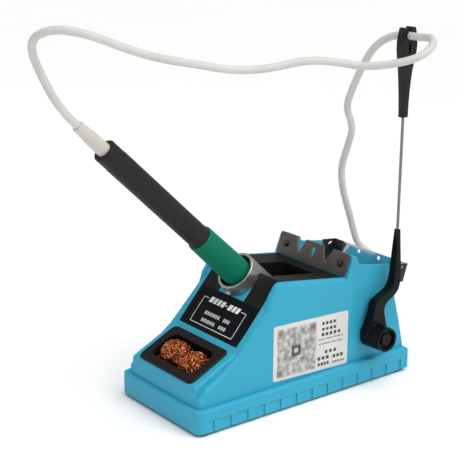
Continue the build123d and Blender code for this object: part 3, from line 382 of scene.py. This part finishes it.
def label_material():
    """Warm white label film with a blurred grey mosaic on its front two thirds."""
    m = Mat("label_film")
    off = m.add("ShaderNodeVectorMath", operation="SUBTRACT")
    m.link(m.co, "Object", off, 0)
    off.inputs[1].default_value = tuple(SIDE.translation)
    axes = []
    c, sn = math.cos(rad(-2.4)), math.sin(rad(-2.4))
    for x, y in ((c, sn), (-sn, c)):
        d = m.add("ShaderNodeVectorMath", operation="DOT_PRODUCT")
        m.link(off, "Vector", d, 0)
        d.inputs[1].default_value = tuple(SIDE.to_3x3() @ Vector((x, y, 0)))
        axes.append(d)
    U, V = axes

    def box(u0, v0, u1, v1, soft):
        """1 inside a rectangle given in mm, falling off over soft mm."""
        parts = []
        for ax, lo, hi in ((U, u0, u1), (V, v0, v1)):
            parts.append(m.maprange(ax, "Value", (lo - soft) * MM, (lo + soft) * MM, 0.0, 1.0))
            parts.append(m.maprange(ax, "Value", (hi + soft) * MM, (hi - soft) * MM, 0.0, 1.0))
        f = m.math("MULTIPLY", (parts[0], "Result"), (parts[1], "Result"))
        f = m.math("MULTIPLY", (f, "Value"), (parts[2], "Result"))
        return m.math("MULTIPLY", (f, "Value"), (parts[3], "Result"))

    film = m.ramp(m.noise(40.0, 3.0), "Fac", [(0.3, rgb(213, 209, 206)), (0.7, rgb(222, 219, 216))])
    patch = m.noise(250.0, 1.0, 0.45)
    tone = m.ramp(patch, "Fac", [(0.30, rgb(134, 131, 127)), (0.50, rgb(170, 167, 163)), (0.70, rgb(206, 203, 200))])
    zone = box(-32.0, -18.6, 4.4, 17.4, 1.1)
    col = m.mix((zone, "Value"), (film, "Color"), (tone, "Color"))
    for (u0, v0, u1, v1), c_, s_ in (((-31.5, 12.2, -26.6, 16.8), rgb(128, 120, 106), 1.5),
                                     ((-1.6, 12.2, 3.8, 17.0), rgb(112, 108, 104), 1.5),
                                     ((-31.8, -17.6, -27.0, -13.2), rgb(112, 114, 104), 1.5),
                                     ((-18.6, -4.6, -10.2, 3.4), rgb(48, 45, 43), 1.0),
                                     ((-16.3, -2.3, -12.5, 1.3), rgb(196, 192, 188), 0.9)):
        f = box(u0, v0, u1, v1, s_)
        col = m.mix((f, "Value"), (col, "Result"), c_)
    m.colour(col, "Result")
    fine = m.noise(1400.0, 3.0)
    m.rough(m.maprange(fine, "Fac", 0.3, 0.7, 0.36, 0.48))
    m.normal(m.bump(fine, "Fac", 0.00001, 0.4))
    m.set(Specular_IOR_Level=0.35)
    return m.m


mat_tray = tray_material()
mat_label = label_material()


def tip_material():
    """Plated tip: bright steel that turns straw and blue towards the hot end."""
    m = Mat("tip_metal")
    sep = m.add("ShaderNodeSeparateXYZ")
    m.link(m.co, "Object", sep, "Vector")
    heat = m.maprange(sep, "Z", 0.085, 0.045, 0.0, 1.0)
    col = m.ramp(heat, "Result", [(0.0, (0.62, 0.61, 0.60)), (0.45, (0.58, 0.47, 0.30)), (0.7, (0.36, 0.27, 0.36)),
                                  (0.9, (0.22, 0.25, 0.36)), (1.0, (0.55, 0.54, 0.53))])
    n = m.noise(900.0, 4.0)
    blotch = m.mix(0.3, (col, "Color"), (0.12, 0.11, 0.10))
    m.t.links.new(m.maprange(n, "Fac", 0.5, 0.75, 0.0, 0.6).outputs["Result"],
                  [s for s in blotch.inputs if s.name == "Factor" and s.enabled][0])
    m.colour(blotch, "Result")
    m.rough(m.maprange(n, "Fac", 0.3, 0.7, 0.2, 0.42))
    m.normal(m.bump(n, "Fac", 0.00001, 0.5))
    m.set(Metallic=1.0)
    return m.m


def copper_material(name, dark=False):
    m = Mat(name)
    # The bright and dark patches of the strands are partly fresh and tarnished copper, partly painted sparkle
    # highlights.
    n = m.noise(520.0, 2.0)
    # dark=True is painted shade: the core sheet under the strands stands for the shaded depths of the heap.
    a, b = ((0.07, 0.018, 0.007), (0.20, 0.055, 0.022)) if dark else ((0.27, 0.042, 0.013), (1.0, 0.43, 0.19))
    col = m.ramp(n, "Fac", [(0.40, a), (0.66, b)])
    m.colour(col)
    fine = m.noise(2600.0, 2.0)
    m.rough(m.maprange(fine, "Fac", 0.3, 0.7, 0.10 if not dark else 0.5, 0.26 if not dark else 0.8))
    flake = m.noise(620.0, 1.0)
    m.normal(m.bump(fine, "Fac", 0.00002, 0.7, m.bump(flake, "Fac", 0.0009, 1.0)))
    m.set(Metallic=1.0)
    return m.m


mat_tip = tip_material()
mat_copper = copper_material("copper_strand")
mat_copper_painted_shade = copper_material("copper_core", dark=True)

ASSIGN = {
    "lower_case": mat_case, "upper_case": mat_case, "rubber_feet": mat_foot, "case_screws": mat_screw,
    "nameplate": mat_panel, "side_label": mat_label, "wool_cup": mat_cup, "copper_wool": mat_copper_painted_shade,
    "tub_liner": mat_tub, "holder_tube": mat_tube, "holder_screw": mat_screw, "tip_plate": mat_rack,
    "tip_plate_screws": mat_screw_dark, "rear_tray": mat_tray, "rear_tray_screws": mat_screw, "cord_gland": mat_foot,
    "power_inlet": mat_inlet, "switch_housing": mat_inlet, "switch_rocker": mat_switch, "circuit_board": mat_board,
    "board_screws": mat_screw, "transformer": mat_core, "capacitors": mat_can, "pivot_screw": mat_screw_recess_shade,
    "pivot_nut": mat_screw, "pivot_washer": mat_screw_dark, "swing_arm": mat_arm, "arm_rod": mat_rod,
    "cord_clip": mat_clip, "handle_tube": mat_handle, "iron_grip": mat_grip, "iron_nose": mat_nose,
    "heater_cartridge": mat_tip, "cord_boot": mat_boot, "cord_front": mat_cord, "cord_middle": mat_cord,
    "cord_rear": mat_cord,
}
for name, mat in ASSIGN.items():
    o = nodes[name]
    for s in o.material_slots:
        s.material = mat


# ------------------------------------------------------------------ mesh helpers
def make(name, verts, faces, mat, body, smooth=True):
    me = bpy.data.meshes.new(name)
    me.from_pydata(verts, [], faces)
    me.update()
    if smooth:
        me.polygons.foreach_set("use_smooth", [True] * len(me.polygons))
    o = bpy.data.objects.new(name, me)
    scene.collection.objects.link(o)
    me.materials.append(mat)
    if body:
        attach(o, body)
    return o


def tube(points, radius, sides=18, caps=True):
    """Round tube along a dense line of points."""
    P = [Vector(p) for p in points]
    verts, faces = [], []
    t0 = (P[1] - P[0]).normalized()
    ref = Vector((0, 0, 1)) if abs(t0.z) < 0.9 else Vector((1, 0, 0))
    u = t0.cross(ref).normalized()
    for i, p in enumerate(P):
        t = (P[min(i + 1, len(P) - 1)] - P[max(i - 1, 0)]).normalized()
        u = (u - t * u.dot(t)).normalized()
        v = t.cross(u)
        for k in range(sides):
            a = 2 * math.pi * k / sides
            verts.append(p + (u * math.cos(a) + v * math.sin(a)) * radius)
    for i in range(len(P) - 1):
        for k in range(sides):
            a, b = i * sides + k, i * sides + (k + 1) % sides
            faces.append((a, b, b + sides, a + sides))
    if caps:
        faces.append(tuple(range(sides - 1, -1, -1)))
        faces.append(tuple((len(P) - 1) * sides + k for k in range(sides)))
    return verts, faces


def flat_caps(o, count=2):
    """The last faces of a tube are its ends: flat, so that the side isn't shaded towards them."""
    for f in list(o.data.polygons)[-count:]:
        f.use_smooth = False


# ------------------------------------------------------------------ cord
def axis_point(s):
    return (0.0, -30.3 + math.cos(rad(AXIS_TILT)) * s, 96.1 - math.sin(rad(AXIS_TILT)) * s)


LEAN = math.atan((99.6 - 86.3) / (87.0 - 19.2))
gland_y = 99.6 + (39.0 - 19.2) * (86.3 - 99.6) / (87.0 - 19.2)


def out_of_gland(d):
    return (-24.0, gland_y + d * math.cos(LEAN), 39.0 + d * math.sin(LEAN))


JOIN_A, JOIN_B = (28.3, -83.5, 256.5), (31.2, -53.7, 249.2)
JOIN = tuple((a + b) / 2 for a, b in zip(JOIN_A, JOIN_B))
CLIP = (49.2, 88.0, 261.6)
ROUTES = {
    "cord_front": [
        axis_point(-177.5), axis_point(-195.4), (-13.6, -176.0, 257.4), (-11.1, -182.0, 271.9),
        (-2.0, -183.6, 281.0), (12.7, -177.3, 286.5), (23.5, -158.8, 282.2), (23.3, -135.9, 272.0),
        (25.2, -110.5, 262.8), JOIN_A, JOIN,
    ],
    "cord_middle": [
        JOIN, JOIN_B, (36.5, -27.3, 248.5), (45.5, -3.8, 253.0), (53.1, 15.9, 251.0), (63.0, 33.2, 246.7),
        (76.9, 47.9, 248.7), (88.2, 61.0, 253.1), (87.4, 75.4, 259.1), (77.5, 85.1, 263.6),
        (CLIP[0] + 13.7, CLIP[1], CLIP[2]), CLIP,
    ],
    "cord_rear": [
        CLIP, (CLIP[0] - 11.2, CLIP[1], CLIP[2]), (21.3, 83.2, 252.2), (12.2, 79.5, 235.4), (3.5, 78.9, 219.2),
        (-4.0, 78.3, 202.2), (-5.6, 88.3, 185.6), (-12.6, 89.1, 168.9), (-17.0, 86.2, 151.0),
        (-17.9, 89.9, 132.1), (-18.7, 97.2, 113.9), (-26.3, 109.0, 96.2), (-25.4, 114.1, 80.7),
        (-24.0, 128.2, 71.5), (-23.8, 132.2, 57.0), out_of_gland(13.0 + 15.5), out_of_gland(13.0),
    ],
}
BLENDS = {
    "cord_front": ("iron", "base", (0, -156.9, 220.5), (29.0, -76.0, 254.5)),
    "cord_middle": ("base", "arm", (30.5, -60.0, 250.5), (84.0, 56.0, 251.0)),
    "cord_rear": ("arm", "base", (34.0, 88.0, 258.0), (-25.4, 114.1, 84.0)),
}


def nurbs_line(name, pts):
    cu = bpy.data.curves.new(name + "_line", "CURVE")
    cu.dimensions = "3D"
    sp = cu.splines.new("NURBS")
    sp.points.add(len(pts) - 1)
    for q, p in zip(sp.points, pts):
        q.co = (p[0] * MM, p[1] * MM, p[2] * MM, 1.0)
    sp.order_u = 3
    sp.use_endpoint_u = True
    sp.resolution_u = 14
    o = bpy.data.objects.new(name + "_line", cu)
    scene.collection.objects.link(o)
    bpy.context.view_layer.update()
    me = bpy.data.meshes.new_from_object(o.evaluated_get(bpy.context.evaluated_depsgraph_get()))
    line = [v.co.copy() for v in me.vertices]
    bpy.data.objects.remove(o)
    bpy.data.meshes.remove(me)
    return line


for name, pts in ROUTES.items():
    line = nurbs_line(name, pts)
    # a ring just inside each end keeps the end face out of the shading of the side
    near = 0.04 * MM
    rings = [line[0], line[0] + (line[1] - line[0]).normalized() * near] + line[1:-1] \
        + [line[-1] + (line[-2] - line[-1]).normalized() * near, line[-1]]
    v, f = tube(rings, 2.75 * MM, 36)
    piece = make("lead_" + name[5:], v, f, mat_cord, None)
    flat_caps(piece)
    a, b, s, e = BLENDS[name]
    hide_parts(name)
    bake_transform(piece)

# ------------------------------------------------------------------ prints
def rounded(u0, v0, u1, v1, slant=0.0, r=0.18, seg=3):
    """Outline of a small block, leaning by slant mm from its foot to its head."""
    r = min(r, abs(u1 - u0) / 2.2, abs(v1 - v0) / 2.2)
    out = []
    for cx, cy, a0 in ((u1 - r, v0 + r, -90), (u1 - r, v1 - r, 0), (u0 + r, v1 - r, 90), (u0 + r, v0 + r, 180)):
        for k in range(seg + 1):
            a = rad(a0 + 90.0 * k / seg)
            x, y = cx + r * math.cos(a), cy + r * math.sin(a)
            out.append((x + slant * (y - v0) / (v1 - v0), y))
    return out


def slab(name, plane, outlines, z0, z1, mat, body, turn=0.0):
    """Closed low prisms of printing ink standing on a plane."""
    verts, faces = [], []
    c, sn = math.cos(rad(turn)), math.sin(rad(turn))
    for o in outlines:
        n = len(o)
        i0 = len(verts)
        for z in (z0, z1):
            for (x, y) in o:
                verts.append(plane @ (Vector((x * c - y * sn, x * sn + y * c, z)) * MM))
        faces.append(tuple(i0 + n - 1 - k for k in range(n)))
        faces.append(tuple(i0 + n + k for k in range(n)))
        for k in range(n):
            j = (k + 1) % n
            faces.append((i0 + k, i0 + j, i0 + n + j, i0 + n + k))
    return make(name, verts, faces, mat, body, smooth=False)


def blocks(u0, u1, v0, v1, widths, gap, slant=0.0, r=0.2):
    """A row of plain blocks that stands for a word, fitted between u0 and u1."""
    k = (u1 - u0 - gap * (len(widths) - 1)) / sum(widths)
    out, x = [], u0
    for w in widths:
        out.append(rounded(x, v0, x + w * k, v1, slant, r))
        x += w * k + gap
    return out


line = 0.5
frame_lines = [
    rounded(-25.3, 5.05, 25.5, 5.05 + line, 0, 0.1),
    rounded(-25.3, 5.05, -25.3 + line, 26.3, 0, 0.1),
    rounded(25.5 - line, 5.05, 25.5, 26.3, 0, 0.1),
    rounded(-25.3, 26.3 - line, -19.7, 26.3, 0, 0.1),
    rounded(19.4, 26.3 - line, 25.5, 26.3, 0, 0.1),
]
slab("plate_frame_print", SL2, frame_lines, -0.03, 0.05, mat_print, "base")
big = blocks(-18.0, -0.4, 23.5, 28.1, [1.2, 1.0, 1.0, 1.2], 1.15, 1.1, 0.25)
big += blocks(0.9, 3.0, 25.3, 26.2, [1.0], 0.0, 0.3, 0.15)
big += blocks(4.2, 17.0, 23.5, 28.1, [1.2, 1.0, 1.0], 1.15, 1.1, 0.25)
slab("plate_heading_print", SL2, big, -0.03, 0.06, mat_print, "base")
small = blocks(-15.2, 2.6, 13.9, 16.7, [1, 1, 0.9, 1, 1, 0.9], 0.62)
small += [rounded(3.3, 14.0, 3.8, 14.6, 0, 0.1)]
small += blocks(7.3, 14.3, 13.9, 16.7, [1, 1, 1.1], 0.62)
small += blocks(-14.4, 1.2, 7.9, 10.7, [1, 1, 1.3, 0.9, 1], 0.62)
small += [rounded(2.0, 8.0, 2.5, 8.6, 0, 0.1)]
small += blocks(6.7, 14.6, 7.9, 10.7, [1, 1, 1.25], 0.62)
slab("plate_rows_print", SL2, small, -0.03, 0.05, mat_print_soft, "base")

rng = random.Random(7)


def word_row(u0, u1, vc, h, n, gap, dv=0.0, r=0.3):
    """n character-sized blocks between u0 and u1, each of slightly different height."""
    w = (u1 - u0 - gap * (n - 1)) / n
    out = []
    for k in range(n):
        a = u0 + k * (w + gap)
        hh = h * rng.uniform(0.86, 1.0)
        v = vc + dv * (k / max(1, n - 1))
        out.append(rounded(a, v - hh / 2, a + w * rng.uniform(0.86, 1.0), v + hh / 2, 0, r))
    return out


ink = word_row(10.0, 23.6, 14.9, 2.6, 4, 1.0) + word_row(10.1, 24.0, 10.5, 2.5, 4, 1.0)
ink += word_row(9.6, 28.2, 6.4, 2.6, 5, 1.1) + word_row(13.2, 24.4, -7.4, 2.7, 3, 1.6)
ink += word_row(6.2, 17.4, -11.8, 2.8, 3, 0.9) + [rounded(18.3, -12.9, 18.8, -12.3, 0, 0.1)]
ink += word_row(21.0, 31.2, -12.3, 2.7, 3, 0.9) + word_row(6.6, 17.6, -16.3, 2.6, 4, 0.6)
slab("label_rows_print", SIDE, ink, 0.24, 0.31, mat_ink, "base", turn=-2.4)
fine = []
for vc, ends in ((2.9, (7.0, 12.0, 13.0, 20.6, 21.6, 31.0)), (-0.7, (7.0, 9.4, 10.2, 18.6, 20.0, 23.6, 24.5, 29.9))):
    for k in range(0, len(ends), 2):
        fine += word_row(ends[k], ends[k + 1], vc, 1.25, max(2, int((ends[k + 1] - ends[k]) / 1.25)), 0.32, r=0.2)
fine += word_row(20.4, 32.6, -16.8, 1.9, 8, 0.38, r=0.25)
slab("label_fine_print", SIDE, fine, 0.24, 0.30, mat_ink_soft, "base", turn=-2.4)


# ------------------------------------------------------------------ copper wool
def lobe_height(u, v):
    """Height in mm above the case slope of the heap of turnings, or None outside it."""
    best = None
    for cu, cv, ru, rv, top in LOBES:
        q = ((u - cu) / ru) ** 2 + ((v - cv) / rv) ** 2
        if q < 1.0:
            h = -7.0 + (top + 7.0) * (1.0 - q) ** 0.45
            best = h if best is None else max(best, h)
    return best


LOBES = [(-12.4, 0.6, 13.4, 11.0, 4.0), (12.4, -0.8, 13.2, 10.6, 3.4), (0.4, -3.4, 13.0, 7.4, 2.6)]


def ribbon(points, width, thick, twist0, twist_rate):
    """Flat shaving with a rectangular section, twisting along its line."""
    P = [Vector(p) for p in points]
    verts, faces = [], []
    t0 = (P[1] - P[0]).normalized()
    u = t0.cross(Vector((0.3, 0.5, 0.8))).normalized()
    run = 0.0
    for i, p in enumerate(P):
        t = (P[min(i + 1, len(P) - 1)] - P[max(i - 1, 0)]).normalized()
        u = (u - t * u.dot(t)).normalized()
        v = t.cross(u)
        if i:
            run += (P[i] - P[i - 1]).length
        a = twist0 + twist_rate * run
        e, f = u * math.cos(a) + v * math.sin(a), v * math.cos(a) - u * math.sin(a)
        k = 1.0 if 0 < i < len(P) - 1 else 0.35
        for x, y in ((-1, -1), (1, -1), (1, 1), (-1, 1)):
            verts.append(p + e * (x * width * 0.5 * k) + f * (y * thick * 0.5))
    for i in range(len(P) - 1):
        for k in range(4):
            j = (k + 1) % 4
            faces.append((4 * i + k, 4 * i + j, 4 * i + 4 + j, 4 * i + 4 + k))
    faces.append((3, 2, 1, 0))
    n = 4 * (len(P) - 1)
    faces.append((n, n + 1, n + 2, n + 3))
    return verts, faces


def wool(seed, count):
    g = random.Random(seed)
    verts, faces = [], []
    made = 0
    while made < count:
        cu, cv, ru, rv, top = LOBES[g.choice((0, 0, 1, 1, 2))]
        a0, q0 = g.uniform(0, 2 * math.pi), math.sqrt(g.random()) * 0.92
        u, v = cu + ru * q0 * math.cos(a0), cv + rv * q0 * math.sin(a0)
        top_h = lobe_height(u, v)
        if top_h is None:
            continue
        h = top_h - abs(g.gauss(0, 1.5))
        if h < -8.0:
            continue
        made += 1
        # a curl: a helix on a bent axis, lying roughly along the heap
        ax = Vector((g.gauss(0, 1), g.gauss(0, 1), g.gauss(0, 0.35))).normalized()
        e1 = ax.cross(Vector((0, 0, 1)))
        e1 = e1.normalized() if e1.length > 0.1 else Vector((1, 0, 0))
        e2 = ax.cross(e1)
        r = g.uniform(0.9, 2.7)
        turns = g.uniform(1.6, 4.2)
        pitch = g.uniform(0.9, 2.6)
        n = int(turns * 13)
        ph = g.uniform(0, 2 * math.pi)
        bend = Vector((g.gauss(0, 1), g.gauss(0, 1), 0)) * 0.05
        pts = []
        for k in range(n + 1):
            s_ = k / 13.0
            w = 2 * math.pi * s_ + ph
            rr = r * (1.0 + 0.22 * math.sin(2.3 * w + ph) + 0.10 * math.sin(5.1 * w))
            q = Vector((u, v, h)) + ax * (pitch * (s_ - turns / 2)) + (e1 * math.cos(w) + e2 * math.sin(w)) * rr \
                + bend * (s_ * s_)
            q += Vector((g.gauss(0, 0.07), g.gauss(0, 0.07), g.gauss(0, 0.07)))
            # kept in the pocket and under the skin of the heap
            q.x = max(-25.0, min(25.0, q.x))
            q.y = max(-11.3, min(11.3, q.y))
            lim = lobe_height(q.x, q.y)
            lim = -6.0 if lim is None else lim
            if q.z > lim + 0.9:
                q.z = lim + 0.9 - 0.35 * math.tanh((q.z - lim - 0.9) * 0.8)
            q.z = max(-9.5, q.z)
            pts.append(SL1 @ (q * MM))
        vv, ff = ribbon(pts, g.uniform(0.40, 0.95) * MM, 0.09 * MM, g.uniform(0, 3.1), g.uniform(-260, 260))
        o = len(verts)
        verts += vv
        faces += [tuple(i + o for i in f) for f in ff]
    return verts, faces


wv, wf = wool(11, 430)
wool_o = make("copper_turnings", wv, wf, mat_copper, "base")
cv_, cf_ = [], []
NU, NV = 46, 24


def core_pt(i, j):
    u = -25.2 + 50.4 * i / NU
    v = -11.4 + 22.8 * j / NV
    h = lobe_height(u, v)
    h = -8.5 if h is None else h - 3.4
    h += 0.35 * math.sin(1.7 * u + 0.9 * v) + 0.3 * math.sin(2.3 * v - 1.1 * u)
    edge = max(abs(u) / 25.2, abs(v) / 11.4)
    if edge > 0.97:
        h = -9.0
    return SL1 @ (Vector((u, v, h)) * MM)


for j in range(NV + 1):
    for i in range(NU + 1):
        cv_.append(core_pt(i, j))
for j in range(NV):
    for i in range(NU):
        a_ = j * (NU + 1) + i
        cf_.append((a_, a_ + 1, a_ + NU + 2, a_ + NU + 1))
nb = len(cv_)
rim = [i for i in range(NU + 1)] + [j * (NU + 1) + NU for j in range(1, NV + 1)] \
    + [NV * (NU + 1) + i for i in range(NU - 1, -1, -1)] + [j * (NU + 1) for j in range(NV - 1, 0, -1)]
down = SL1.to_3x3() @ Vector((0, 0, -1)) * (7.0 * MM)
for i in rim:
    cv_.append(cv_[i] + down)
for k in range(len(rim)):
    j = (k + 1) % len(rim)
    cf_.append((rim[j], rim[k], nb + k, nb + j))
cf_.append(tuple(nb + k for k in range(len(rim) - 1, -1, -1)))
# the core sheet under the turnings carries painted shade for the depths of the heap
core = make("copper_turnings_core", cv_, cf_, mat_copper_painted_shade, "base")
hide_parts("copper_wool")

# ------------------------------------------------------------------ floor, light
floor_m = Mat("floor_card")
fn = floor_m.noise(3.0, 2.0)
floor_m.colour(floor_m.ramp(fn, "Fac", [(0.3, (0.955, 0.955, 0.955)), (0.7, (0.97, 0.97, 0.97))]))
floor_m.rough(floor_m.maprange(fn, "Fac", 0.3, 0.7, 0.8, 0.95))
floor_m.set(Specular_IOR_Level=0.1)
floor_me = bpy.data.meshes.new("floor")
floor_me.from_pydata([(-9, -9, 0), (9, -9, 0), (9, 9, 0), (-9, 9, 0)], [], [(0, 1, 2, 3)])
floor = bpy.data.objects.new("floor", floor_me)
floor_me.materials.append(floor_m.m)
scene.collection.objects.link(floor)

# a pale studio: light grey walls, a darker ceiling with soft lamps in it
world = bpy.data.worlds.new("studio")
scene.world = world
world.use_nodes = True
wt = world.node_tree
bg = wt.nodes["Background"]
wco = wt.nodes.new("ShaderNodeTexCoord")
wsep = wt.nodes.new("ShaderNodeSeparateXYZ")
wramp = wt.nodes.new("ShaderNodeValToRGB")
wt.links.new(wco.outputs["Generated"], wsep.inputs["Vector"])
wt.links.new(wsep.outputs["Z"], wramp.inputs["Fac"])
wramp.color_ramp.elements[0].position = 0.0
wramp.color_ramp.elements[0].color = (0.62, 0.62, 0.62, 1)
wramp.color_ramp.elements[1].position = 0.55
wramp.color_ramp.elements[1].color = (0.26, 0.26, 0.26, 1)
wt.links.new(wramp.outputs["Color"], bg.inputs["Color"])
bg.inputs["Strength"].default_value = 1.0


def area(name, loc, target, size, power, col=(1, 1, 1)):
    d = bpy.data.lights.new(name, "AREA")
    d.shape = "RECTANGLE"
    d.size, d.size_y = size
    d.energy = power
    d.color = col
    o = bpy.data.objects.new(name, d)
    o.location = loc
    o.rotation_euler = (Vector(target) - Vector(loc)).to_track_quat("-Z", "Y").to_euler()
    scene.collection.objects.link(o)
    return o


sun = bpy.data.lights.new("overhead", "SUN")
sun.energy = 2.45
sun.angle = rad(62)
sun_o = bpy.data.objects.new("overhead", sun)
sun_o.rotation_euler = Vector((-0.34, -0.10, -0.93)).to_track_quat("-Z", "Y").to_euler()
scene.collection.objects.link(sun_o)
area("glint", (0.42, -0.75, 0.95), (0, -0.08, 0.05), (0.05, 0.05), 0.8)
area("strip_right", (0.9, 0.35, 0.75), (0, 0, 0.12), (0.25, 0.9), 1.6)
area("strip_left", (-0.8, -0.6, 0.8), (0, 0, 0.12), (0.25, 0.8), 0.6)

scene.view_settings.view_transform = "Standard"
scene.view_settings.look = "None"
scene.view_settings.exposure = 0.0
